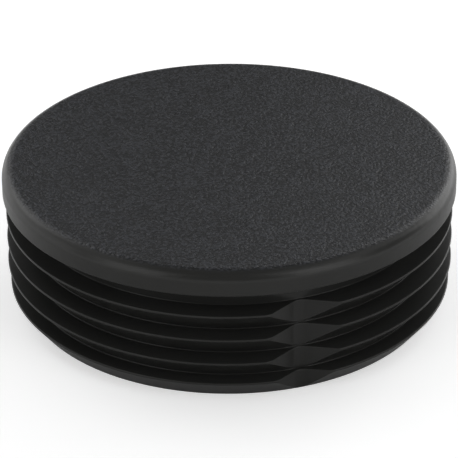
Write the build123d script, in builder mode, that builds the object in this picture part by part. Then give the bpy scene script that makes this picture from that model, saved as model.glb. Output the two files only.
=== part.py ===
from build123d import *

import os
from math import radians, sqrt, tan

# Tube end cap, moulded in one piece: a round head that covers the end of a tube, and a
# hollow skirt with barbed fins that grip the tube's bore.
# Millimetres. z = 0 is the open rim, +Z points out through the head, and the mould parts
# on the YZ plane. Radial sizes step inwards from the tube, heights step up from the rim.

# Tube and head
tube_diameter = 76.0
tube_wall = 1.5
head_height = 4.3
head_edge_radius = 2.0

# Barbed fins
fin_count = 3
fin_interference = 1.0
fin_depth = 3.75
fin_pitch = 4.35
fin_land = 0.35
seat_to_first_fin = 3.9

# Lead ring at the rim, which centres the cap as it enters the tube
lead_ring_height = 3.45
lead_ring_step = 0.35
lead_in = 2.45
lead_ring_to_last_fin = 3.95

# Vees on the parting plane, which keep mould flash below the crests
fin_vee_width = 12.0
ring_vee_width = 9.4
ring_vee_inset = 0.25
vee_floor_radius = 2.6
vee_shoulder_radius = 2.0

# Hollow inside
plate_thickness = 3.0
skirt_wall = 2.25
hollow_draft = 1.0
hollow_corner_radius = 1.5

# Sizes that follow from the ones above
head_radius = tube_diameter / 2
crest_radius = head_radius - tube_wall + fin_interference
core_radius = crest_radius - fin_depth
lead_ring_radius = crest_radius - lead_ring_step
rim_radius = lead_ring_radius - lead_in

last_fin_top = lead_ring_height + lead_ring_to_last_fin
fin_tops = [last_fin_top + index * fin_pitch for index in range(fin_count)]
seat_height = fin_tops[-1] + seat_to_first_fin

hollow_depth = seat_height + head_height - plate_thickness
ceiling_radius = core_radius - skirt_wall
mouth_radius = ceiling_radius + hollow_depth * tan(radians(hollow_draft))


def barb(top, crest, foot, foot_height):
    """Half section of a barb: flat shelf on top, thin land at the crest, cone down to its foot."""
    with BuildSketch(Plane.XZ) as section:
        with BuildLine():
            Polyline(
                (0, top),
                (crest, top),
                (crest, top - fin_land),
                (foot, foot_height),
                (0, foot_height),
                close=True,
            )
        make_face()
    return section.sketch


def vee_pair(base, apex, crest, width):
    """Plan of two shallow vees that open outwards through a crest circle, on -Y and +Y.

    The walls meet at the apex radius before their floor is rounded. Past each shoulder the
    outline runs off along the crest's tangent, so that the shoulder can be rounded too.
    """
    half = width / 2
    shoulder = -sqrt(crest**2 - half**2)
    end_x = half - shoulder * half / crest
    end_y = shoulder + half * half / crest
    with BuildSketch(Plane.XY.offset(base)) as plan:
        with BuildLine():
            walls = FilletPolyline(
                (-end_x, end_y),
                (-half, shoulder),
                (0, -apex),
                (half, shoulder),
                (end_x, end_y),
                radius=(vee_shoulder_radius, vee_floor_radius, vee_shoulder_radius),
            )
            Polyline(walls @ 1, (end_x, end_y - width), (-end_x, end_y - width), walls @ 0)
        make_face()
        mirror(about=Plane.XZ)
    return plan.sketch


def hollow():
    """Half section of the hollow: wider towards its mouth, rounded where it meets the plate."""
    with BuildSketch(Plane.XZ) as section:
        with BuildLine():
            wall = FilletPolyline(
                (mouth_radius, 0),
                (ceiling_radius, hollow_depth),
                (0, hollow_depth),
                radius=hollow_corner_radius,
            )
            Polyline(wall @ 1, (0, 0), wall @ 0)
        make_face()
    return section.sketch


with BuildPart() as end_cap:
    # Plain core between the lead ring and the head
    with BuildSketch(Plane.XY.offset(lead_ring_height)):
        Circle(core_radius)
    extrude(amount=seat_height - lead_ring_height)

    # Fins, each with its cone ending on the shelf of the fin below
    for fin_top in fin_tops:
        add(barb(fin_top, crest_radius, core_radius, fin_top - fin_pitch))
        revolve(axis=Axis.Z)

    # Vees through every fin, down to the core
    add(vee_pair(lead_ring_height, core_radius, crest_radius, fin_vee_width))
    extrude(amount=seat_height - lead_ring_height, mode=Mode.SUBTRACT)

    # Lead ring, with shallower vees that run out just above the rim
    add(barb(lead_ring_height, lead_ring_radius, rim_radius, 0))
    revolve(axis=Axis.Z)
    add(vee_pair(0, rim_radius - ring_vee_inset, lead_ring_radius, ring_vee_width))
    extrude(amount=lead_ring_height, mode=Mode.SUBTRACT)

    # Head, with a rounded shoulder
    with BuildSketch(Plane.XY.offset(seat_height)):
        Circle(head_radius)
    extrude(amount=head_height)
    fillet(end_cap.edges().sort_by(Axis.Z)[-1], radius=head_edge_radius)

    # Hollow under the head
    add(hollow())
    revolve(axis=Axis.Z, mode=Mode.SUBTRACT)

end_cap.part.label = "end_cap"
os.makedirs("parts", exist_ok=True)
export_step(end_cap.part, "parts/end_cap.step")
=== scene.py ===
from math import atan2, cos, pi, radians, remainder, sin, sqrt, tan

import bpy
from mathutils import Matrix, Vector


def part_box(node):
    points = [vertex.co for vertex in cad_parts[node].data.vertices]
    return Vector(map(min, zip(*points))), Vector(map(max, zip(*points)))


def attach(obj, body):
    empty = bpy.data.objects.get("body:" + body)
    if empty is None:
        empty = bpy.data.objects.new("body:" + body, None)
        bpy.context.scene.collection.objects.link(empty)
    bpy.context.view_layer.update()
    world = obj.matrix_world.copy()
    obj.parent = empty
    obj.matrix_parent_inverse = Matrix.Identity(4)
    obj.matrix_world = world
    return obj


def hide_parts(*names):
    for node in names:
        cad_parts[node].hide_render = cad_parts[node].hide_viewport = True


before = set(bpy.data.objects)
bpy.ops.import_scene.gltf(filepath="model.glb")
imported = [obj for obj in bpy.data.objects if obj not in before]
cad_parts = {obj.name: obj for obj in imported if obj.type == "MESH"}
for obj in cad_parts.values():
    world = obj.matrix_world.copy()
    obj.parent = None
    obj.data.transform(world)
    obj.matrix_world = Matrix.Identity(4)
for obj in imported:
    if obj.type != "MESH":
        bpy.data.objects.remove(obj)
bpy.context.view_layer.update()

# Tube end cap in black moulded plastic. One mesh stands for the imported solid: the same surface,
# with its edges rounded as a mould leaves them, a fine grain on the face of the head, with painted
# shade in its pits, and a satin finish everywhere else.
# Sizes are in millimetres, under part.py's names where it has them, and become metres in
# the mesh. The floor's and the lamps' are in metres. Angles are in degrees.

MM = 0.001
NODE = "end_cap"

_, node_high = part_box(NODE)
head_radius = node_high.x / MM
top_height = node_high.z / MM

# Head
head_height = 4.3
head_edge_radius = 2.0
tube_wall = 1.5

# Barbed fins
fin_count = 3
fin_interference = 1.0
fin_depth = 3.75
fin_pitch = 4.35
fin_land = 0.35

# Lead ring at the rim
lead_ring_height = 3.45
lead_ring_step = 0.35
lead_in = 2.45
lead_ring_to_last_fin = 3.95

# Vees on the parting plane, front and back of the CAD frame
fin_vee_width = 12.0
ring_vee_width = 9.4
ring_vee_inset = 0.25
vee_floor_radius = 2.6
vee_shoulder_radius = 2.0

# Hollow inside
plate_thickness = 3.0
skirt_wall = 2.25
hollow_draft = 1.0
hollow_corner_radius = 1.5

# Roundings too small for the solid
crest_rounding = 0.10
root_rounding = 0.12
rim_rounding = 0.15

# Sizes that follow from the ones above
seat_height = top_height - head_height
crest_radius = head_radius - tube_wall + fin_interference
core_radius = crest_radius - fin_depth
lead_ring_radius = crest_radius - lead_ring_step
rim_radius = lead_ring_radius - lead_in
hollow_depth = top_height - plate_thickness
ceiling_radius = core_radius - skirt_wall
mouth_radius = ceiling_radius + hollow_depth * tan(radians(hollow_draft))
last_fin_top = lead_ring_height + lead_ring_to_last_fin
fin_tops = [last_fin_top + index * fin_pitch for index in reversed(range(fin_count))]

# Columns of the mesh: degrees between them, and how far the closer ones reach from the
# middle of a vee
column_step = 1.0
vee_column_step = 0.25
vee_reach = 11.0

# Rows of the mesh: pieces of each arc of the section, rings across the face and the
# ceiling, and millimetres from an arc to the first cut beyond it
head_edge_steps = 10
rounding_steps = 3
hollow_corner_steps = 6
flat_rings = 9
cut_margin = 0.12

# Plan of a vee: pieces of its arcs and of the runs between them
vee_shoulder_steps = 8
vee_floor_steps = 16
vee_run_steps = 16

# Most of a run that the arc at either end takes up, and the least width that a vee leaves
# to the last fin's cone
arc_share = 0.45
least_cone = 0.02

# Plastic: its gloss, the size of its uneven patches and the noise levels that they run
# between, and the two tones of its satin finish
plastic_specular = 0.22
plastic_roughness = 0.30
uneven_size = 6.0
uneven_low = 0.3
uneven_high = 0.7
satin_dark = (0.0200, 0.0201, 0.0190)
satin_light = (0.0250, 0.0251, 0.0238)

# Grain of the face: its size across, the share of finer noise in it, the depth of its
# relief, and how far down the shoulder it fades out
grain_size = 0.48
grain_fineness = 0.6
grain_depth = 0.08
grain_fade = 0.38

# Colours of the grain's pits and peaks, where the pits' dark is painted shade for the shade that
# falls into them, over the grain's own tone; the noise levels below and above which each is full,
# and how far the uneven patches shift those levels
# The pits' colour is painted shade, darker than the grain's own tone
painted_pit_shade = (0.0044, 0.0047, 0.0056)
peak_colour = (0.0218, 0.0233, 0.0275)
pit_level = 0.47
peak_level = 0.60
level_shift = 0.02

# Slight waviness of the whole surface
ripple_size = 1.3
ripple_depth = 0.016

# Camera, as fitted to the photograph, which is 458 pixels wide: seen from the middle of the
# head's seat. It aims below that point and a little to its left. It sees what lies between
# two distances in metres.
photo_azimuth = -19.0
photo_elevation = 28.29
photo_distance = 13.522 * head_radius
photo_aim_drop = 0.2354 * head_radius
photo_aim_left = 0.0020 * head_radius
photo_roll = 0.332
photo_focal_widths = 3062.4 / 458
sensor_width = 36.0
clip_near = 0.01
clip_far = 20.0

# Floor: how far it reaches under the rim, its radii, its paint and glow, and the distances
# from the cap's middle between which reflections come to see that glow
floor_under_rim = 0.3
floor_opening = (rim_radius - floor_under_rim) * MM
floor_radius = 1.2
floor_sides = 128
floor_colour = 0.75
floor_glow = 0.48
glow_start = 0.06
glow_full = 0.16

# Light: the even dome, the elevations between which the horizon's white fades out in
# reflections, the drop over which the white below the horizon sets in, and the lamps'
# distance
dome_light = 0.12
horizon_white_to = 0.5
horizon_clear_from = 4.0
under_fade = 0.02
lamp_distance = 0.8


def direction(azimuth, elevation):
    """Unit vector away from the cap. Azimuth 0 is towards -Y, and grows towards +X."""
    a, e = radians(azimuth), radians(elevation)
    return Vector((sin(a) * cos(e), -cos(a) * cos(e), sin(e)))


# ------------------------------------------------------------------ camera

def make_camera():
    """The photograph's camera, turned so that the vee on -Y is as far right as in it."""
    data = bpy.data.cameras.new("photo_camera")
    data.sensor_width = sensor_width
    data.lens = sensor_width * photo_focal_widths
    data.clip_start = clip_near
    data.clip_end = clip_far
    camera = bpy.data.objects.new("photo_camera", data)
    bpy.context.scene.collection.objects.link(camera)
    seat = Vector((0, 0, seat_height))
    aim = seat + direction(photo_azimuth - 90, 0) * photo_aim_left
    aim.z -= photo_aim_drop
    place = seat + direction(photo_azimuth, photo_elevation) * photo_distance
    turned = (aim - place).to_track_quat("-Z", "Y").to_matrix().to_4x4()
    camera.matrix_world = turned
    camera.rotation_euler.rotate_axis("Z", -radians(photo_roll))
    camera.location = place * MM
    bpy.context.scene.camera = camera


# ---------------------------------------------------------------- outlines

def rounded(corners):
    """Arcs of an open outline whose inner corners are rounded.

    An inner corner is (x, y, radius, steps), where steps counts the pieces of its arc. The
    result is a list of arcs, each a list of points; the first and last hold one point each.
    Where two corners are close, their radii shrink so that the arcs stay apart.
    """
    spots = [Vector(corner[:2]) for corner in corners]
    arcs = [[spots[0]]]
    for index in range(1, len(corners) - 1):
        radius, steps = corners[index][2:]
        here = spots[index]
        back, ahead = spots[index - 1] - here, spots[index + 1] - here
        half = back.angle(ahead) / 2
        reach = min(radius / tan(half), arc_share * back.length, arc_share * ahead.length)
        first = here + back.normalized() * reach
        last = here + ahead.normalized() * reach
        centre = here + (back.normalized() + ahead.normalized()).normalized() * reach / cos(half)
        start, end = first - centre, last - centre
        begin = atan2(start.y, start.x)
        sweep = remainder(atan2(end.y, end.x) - begin, 2 * pi)
        angles = [begin + sweep * step / steps for step in range(steps + 1)]
        size = reach * tan(half)
        arcs.append([centre + size * Vector((cos(a), sin(a))) for a in angles])
    arcs.append([spots[-1]])
    return arcs


def vee_outline(apex, crest, width):
    """Plan of one vee as (degrees from its middle, radius), densely enough to interpolate."""
    half = width / 2
    shoulder = sqrt(crest**2 - half**2)
    end_x = half + shoulder * half / crest
    end_y = shoulder - half * half / crest
    arcs = rounded([
        (-end_x, end_y),
        (-half, shoulder, vee_shoulder_radius, vee_shoulder_steps),
        (0, apex, vee_floor_radius, vee_floor_steps),
        (half, shoulder, vee_shoulder_radius, vee_shoulder_steps),
        (end_x, end_y),
    ])
    shares = [step / vee_run_steps for step in range(1, vee_run_steps)]
    points = list(arcs[0])
    for before, after in zip(arcs, arcs[1:]):
        points += [before[-1].lerp(after[0], share) for share in shares]
        points += after
    return [(atan2(point.x, point.y) * 180 / pi, point.length) for point in points]


def cut_radius(outline, offset, crest):
    """Radius that a crest keeps at an offset in degrees from the middle of a vee."""
    for (low, low_radius), (high, high_radius) in zip(outline, outline[1:]):
        if low <= offset <= high:
            share = (offset - low) / (high - low)
            return min(crest, low_radius + share * (high_radius - low_radius))
    return crest


def on_cone(radius, crest, land_bottom, foot, foot_height):
    """Height of a barb's cone at a radius between its foot and its land."""
    return foot_height + (land_bottom - foot_height) * (radius - foot) / (crest - foot)


def fin_corners(fin_top, fin_crest):
    """Corners of a fin: its root under the part above, and its crest, cut back by the vee."""
    foot_height = fin_top - fin_pitch
    land_bottom = fin_top - fin_land
    wall_bottom = on_cone(fin_crest, crest_radius, land_bottom, core_radius, foot_height)
    return [
        (core_radius, fin_top, root_rounding, rounding_steps),
        (fin_crest, fin_top, crest_rounding, rounding_steps),
        (fin_crest, wall_bottom, crest_rounding, rounding_steps),
    ]


def cone_end(fin_crest):
    """Radius where the last fin's cone runs out on the ring's shelf, a little above its foot."""
    foot_height = last_fin_top - fin_pitch
    land_bottom = last_fin_top - fin_land
    share = (lead_ring_height - foot_height) / (land_bottom - foot_height)
    return min(core_radius + share * fin_depth, fin_crest - least_cone)


def section(fin_crest, ring_crest):
    """Corners of the cap's half section, from the middle of the face round to the ceiling's."""
    corners = [
        (0, top_height),
        (head_radius, top_height, head_edge_radius, head_edge_steps),
        (head_radius, seat_height, rim_rounding, rounding_steps),
        (core_radius, seat_height, root_rounding, rounding_steps),
    ]
    for fin_top in fin_tops:
        corners += fin_corners(fin_top, fin_crest)
    ring_bottom = on_cone(
        ring_crest, lead_ring_radius, lead_ring_height - fin_land, rim_radius, 0
    )
    return corners + [
        (cone_end(fin_crest), lead_ring_height, root_rounding, rounding_steps),
        (ring_crest, lead_ring_height, crest_rounding, rounding_steps),
        (ring_crest, ring_bottom, crest_rounding, rounding_steps),
        (rim_radius, 0, rim_rounding, rounding_steps),
        (mouth_radius, 0, rim_rounding, rounding_steps),
        (ceiling_radius, hollow_depth, hollow_corner_radius, hollow_corner_steps),
        (0, hollow_depth),
    ]


def section_points(corners):
    """Points of a section, with cuts beside every arc so that flat runs shade flat."""
    arcs = rounded(corners)
    points = list(arcs[0])
    last_run = len(arcs) - 2
    for run, (before, after) in enumerate(zip(arcs, arcs[1:])):
        start, end = before[-1], after[0]
        length = (end - start).length
        margin = min(cut_margin, length / 3)
        rings = flat_rings if run in (0, last_run) else 1
        spacing = (length - 2 * margin) / (rings + 1)
        for ring in range(rings + 2):
            points.append(start.lerp(end, (margin + ring * spacing) / length))
        points += after
    return points


# ---------------------------------------------------------------- the mesh

def column_azimuths():
    """Azimuths of the mesh's columns, close together across each vee."""
    fine_count = round(2 * vee_reach / vee_column_step)
    fine = [index * vee_column_step - vee_reach for index in range(fine_count)]
    coarse_count = round((180 - 2 * vee_reach) / column_step)
    coarse = [vee_reach + index * column_step for index in range(coarse_count)]
    return [middle + offset for middle in (0, 180) for offset in fine + coarse]


def skin_faces(columns, rows):
    """Faces between the columns, which meet at two poles: the face's middle and the ceiling's.

    The poles are the two vertices after the last column's.
    """
    top_pole = columns * rows
    ceiling_pole = top_pole + 1
    faces = []
    for column in range(columns):
        here = column * rows
        there = (column + 1) % columns * rows
        faces.append((top_pole, here, there))
        for row in range(rows - 1):
            faces.append((here + row, here + row + 1, there + row + 1, there + row))
        faces.append((here + rows - 1, ceiling_pole, there + rows - 1))
    return faces


def cap_mesh():
    """The cap's whole surface, closed."""
    fin_vee = vee_outline(core_radius, crest_radius, fin_vee_width)
    ring_vee = vee_outline(rim_radius - ring_vee_inset, lead_ring_radius, ring_vee_width)
    azimuths = column_azimuths()
    vertices = []
    for azimuth in azimuths:
        offset = remainder(azimuth, 180)
        fin_crest = cut_radius(fin_vee, offset, crest_radius)
        ring_crest = cut_radius(ring_vee, offset, lead_ring_radius)
        points = section_points(section(fin_crest, ring_crest))[1:-1]
        a = radians(azimuth)
        vertices += [Vector((sin(a) * p.x, -cos(a) * p.x, p.y)) * MM for p in points]
    vertices += [Vector((0, 0, top_height)) * MM, Vector((0, 0, hollow_depth)) * MM]

    mesh = bpy.data.meshes.new("end_cap_skin")
    mesh.from_pydata(vertices, [], skin_faces(len(azimuths), len(points)))
    mesh.materials.append(moulded_plastic())
    for polygon in mesh.polygons:
        polygon.use_smooth = True
    mesh.validate()
    return mesh


# ------------------------------------------------------------------- nodes

def link(tree, source, target):
    """Feed one node's output into another's input."""
    tree.links.new(source, target)


def node(tree, kind, **values):
    """A new node with the given input values; an input's name has _ for each space."""
    made = tree.nodes.new(kind)
    for name, value in values.items():
        made.inputs[name.replace("_", " ")].default_value = value
    return made


def grey(level):
    """An opaque grey."""
    return level, level, level, 1


def noise(tree, place, size_mm, detail, roughness=0.5):
    """Noise whose features are about size_mm across, as a value around 0.5."""
    made = node(tree, "ShaderNodeTexNoise", Scale=1 / (size_mm * MM), Detail=detail,
                Roughness=roughness)
    link(tree, place, made.inputs["Vector"])
    return made.outputs["Fac"]


def remap(tree, value, start, end, from_level, to_level):
    """A smooth change from one level to another while the value goes from start to end."""
    made = node(tree, "ShaderNodeMapRange", From_Min=start, From_Max=end,
                To_Min=from_level, To_Max=to_level)
    made.interpolation_type = "SMOOTHSTEP"
    link(tree, value, made.inputs["Value"])
    return made.outputs["Result"]


def maths(tree, operation, first, second):
    """One sum on the values of two other nodes."""
    made = tree.nodes.new("ShaderNodeMath")
    made.operation = operation
    link(tree, first, made.inputs[0])
    link(tree, second, made.inputs[1])
    return made.outputs[0]


def mixed(tree, factor, low, high):
    """A colour between two, each of them plain or another node's."""
    made = tree.nodes.new("ShaderNodeMix")
    made.data_type = "RGBA"
    colour_inputs = [socket for socket in made.inputs if socket.type == "RGBA"]
    for socket, colour in zip(colour_inputs, (low, high)):
        if isinstance(colour, tuple):
            socket.default_value = (*colour, 1)
        else:
            link(tree, colour, socket)
    link(tree, factor, made.inputs["Factor"])
    return [socket for socket in made.outputs if socket.type == "RGBA"][0]


def mixed_shader(tree, share, first, second):
    """The first shader where the share is 0, the second where it is 1."""
    made = tree.nodes.new("ShaderNodeMixShader")
    for source, target in zip((share, first, second), made.inputs):
        link(tree, source, target)
    return made.outputs[0]


def shown_share(tree, weight):
    """1 for the camera's own rays, a weight for those of gloss and glass, and else 0."""
    path = tree.nodes.new("ShaderNodeLightPath")
    gloss = maths(tree, "MAXIMUM", path.outputs["Is Glossy Ray"],
                  path.outputs["Is Transmission Ray"])
    return maths(tree, "MAXIMUM", path.outputs["Is Camera Ray"],
                 maths(tree, "MULTIPLY", gloss, weight))


# ----------------------------------------------------------------- plastic

def moulded_plastic():
    """Black plastic, satin at the sides. The head's face has a fine spark-eroded grain, which
    fades out over the shoulder, with painted shade darkening its pits."""
    material = bpy.data.materials.new("black_plastic")
    material.use_nodes = True
    tree = material.node_tree
    shader = tree.nodes["Principled BSDF"]
    shader.inputs["Specular IOR Level"].default_value = plastic_specular
    shader.inputs["Roughness"].default_value = plastic_roughness
    place = tree.nodes.new("ShaderNodeTexCoord").outputs["Object"]
    parts = tree.nodes.new("ShaderNodeSeparateXYZ")
    link(tree, place, parts.inputs[0])
    on_face = remap(tree, parts.outputs["Z"], (top_height - grain_fade) * MM,
                    top_height * MM, 0, 1)

    uneven = noise(tree, place, uneven_size, detail=3)
    satin = mixed(tree, uneven, satin_dark, satin_light)
    grain = noise(tree, place, grain_size, detail=1, roughness=grain_fineness)
    patches = remap(tree, uneven, uneven_low, uneven_high, -level_shift, level_shift)
    # Painted shade in the grain's pits: the colour runs from the peaks' tone down to the pits'
    # shade as the noise falls
    peaks = remap(tree, maths(tree, "ADD", grain, patches), pit_level, peak_level, 0, 1)
    grain_with_pit_shade = mixed(tree, peaks, painted_pit_shade, peak_colour)
    link(tree, mixed(tree, on_face, satin, grain_with_pit_shade), shader.inputs["Base Color"])

    # Heights in millimetres, which the bump's distance turns into metres
    relief = remap(tree, grain, 0, 1, -grain_depth / 2, grain_depth / 2)
    ripple = remap(tree, noise(tree, place, ripple_size, detail=3), 0, 1, 0, ripple_depth)
    height = maths(tree, "ADD", maths(tree, "MULTIPLY", relief, on_face), ripple)
    bumps = node(tree, "ShaderNodeBump", Distance=MM, Strength=1.0)
    link(tree, height, bumps.inputs["Height"])
    link(tree, bumps.outputs["Normal"], shader.inputs["Normal"])
    return material


# ------------------------------------------------------------------- stage

def floor_material():
    """Pale paint that adds a glow of its own where it shows, and is clear from below.

    Its whiteness reaches the camera everywhere, and reflections away from the cap: close
    to it they see the floor with the cap's own shadow on it.
    """
    material = bpy.data.materials.new("pale_floor")
    material.use_nodes = True
    tree = material.node_tree
    tree.nodes.clear()
    paint = node(tree, "ShaderNodeBsdfDiffuse", Color=grey(floor_colour))
    glow = node(tree, "ShaderNodeEmission", Color=grey(floor_glow))
    place = tree.nodes.new("ShaderNodeNewGeometry")
    distance = tree.nodes.new("ShaderNodeVectorMath")
    distance.operation = "LENGTH"
    link(tree, place.outputs["Position"], distance.inputs[0])
    away = remap(tree, distance.outputs["Value"], glow_start, glow_full, 0, 1)
    link(tree, shown_share(tree, away), glow.inputs["Strength"])
    both = tree.nodes.new("ShaderNodeAddShader")
    link(tree, paint.outputs[0], both.inputs[0])
    link(tree, glow.outputs[0], both.inputs[1])
    clear = tree.nodes.new("ShaderNodeBsdfTransparent")
    surface = mixed_shader(tree, place.outputs["Backfacing"], both.outputs[0], clear.outputs[0])
    out = tree.nodes.new("ShaderNodeOutputMaterial")
    link(tree, surface, out.inputs["Surface"])
    return material


def make_floor():
    """Pale round floor. It is open inside the cap's rim, where nothing shows from above,
    and clear from below, so that a view from underneath sees the cap and its hollow."""
    vertices = []
    for radius in (floor_opening, floor_radius):
        for step in range(floor_sides):
            vertices.append(direction(360 * step / floor_sides, 0) * radius)
    faces = []
    for step in range(floor_sides):
        after = (step + 1) % floor_sides
        faces.append((step, floor_sides + step, floor_sides + after, after))
    mesh = bpy.data.meshes.new("floor")
    mesh.from_pydata(vertices, [], faces)
    mesh.materials.append(floor_material())
    floor = bpy.data.objects.new("floor", mesh)
    bpy.context.scene.collection.objects.link(floor)


def background(tree, level):
    """A plain grey or white world shader."""
    return node(tree, "ShaderNodeBackground", Color=grey(level)).outputs[0]


def light_world():
    """White behind everything, at the horizon of reflections and below the floor, whose
    opening lets it into the hollow; for the rest of the light a weak even dome."""
    world = bpy.data.worlds.new("studio")
    bpy.context.scene.world = world
    world.use_nodes = True
    tree = world.node_tree
    tree.nodes.clear()
    coordinates = tree.nodes.new("ShaderNodeTexCoord")
    parts = tree.nodes.new("ShaderNodeSeparateXYZ")
    link(tree, coordinates.outputs["Generated"], parts.inputs[0])
    rise = parts.outputs["Z"]
    low = remap(tree, rise, sin(radians(horizon_white_to)), sin(radians(horizon_clear_from)), 1, 0)
    under = remap(tree, rise, -under_fade, 0, 1, 0)
    share = maths(tree, "MAXIMUM", shown_share(tree, low), under)
    sky = mixed_shader(tree, share, background(tree, dome_light), background(tree, 1))
    out = tree.nodes.new("ShaderNodeOutputWorld")
    link(tree, sky, out.inputs["Surface"])


def softbox(name, azimuth, width, low, high, radiance):
    """Lamp that faces the cap and covers a width and a range of elevations, in degrees.

    Its azimuth counts from the camera's, to the right, and its surface has the given radiance.
    """
    away = direction(photo_azimuth + azimuth, (low + high) / 2)
    data = bpy.data.lights.new(name, "AREA")
    data.shape = "RECTANGLE"
    data.size = 2 * lamp_distance * tan(radians(width / 2))
    data.size_y = 2 * lamp_distance * tan(radians((high - low) / 2))
    data.energy = radiance * pi * data.size * data.size_y
    lamp = bpy.data.objects.new(name, data)
    bpy.context.scene.collection.objects.link(lamp)
    lamp.matrix_world = away.to_track_quat("Z", "Y").to_matrix().to_4x4()
    lamp.location = away * lamp_distance


bpy.context.scene.view_settings.view_transform = "Standard"
make_camera()
light_world()
softbox("key_left", azimuth=-47, width=32, low=2, high=42, radiance=1.75)
softbox("key_right", azimuth=47, width=32, low=2, high=42, radiance=2.1)
softbox("high_left", azimuth=-100, width=70, low=36, high=64, radiance=0.57)
softbox("high_right", azimuth=70, width=70, low=36, high=64, radiance=0.75)
softbox("back_left", azimuth=-115, width=74, low=2, high=34, radiance=1.18)
softbox("back_right", azimuth=130, width=44, low=2, high=34, radiance=2.7)
softbox("behind_left", azimuth=-142.5, width=45, low=24, high=50, radiance=1.5)
softbox("behind_right", azimuth=150, width=30, low=24, high=50, radiance=1.95)
softbox("far_behind", azimuth=172.5, width=15, low=24, high=50, radiance=0.6)
softbox("overhead", azimuth=180, width=60, low=60, high=90, radiance=0.4)
make_floor()

cap = bpy.data.objects.new("end_cap_skin", cap_mesh())
bpy.context.scene.collection.objects.link(cap)
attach(cap, "root")
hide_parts(NODE)
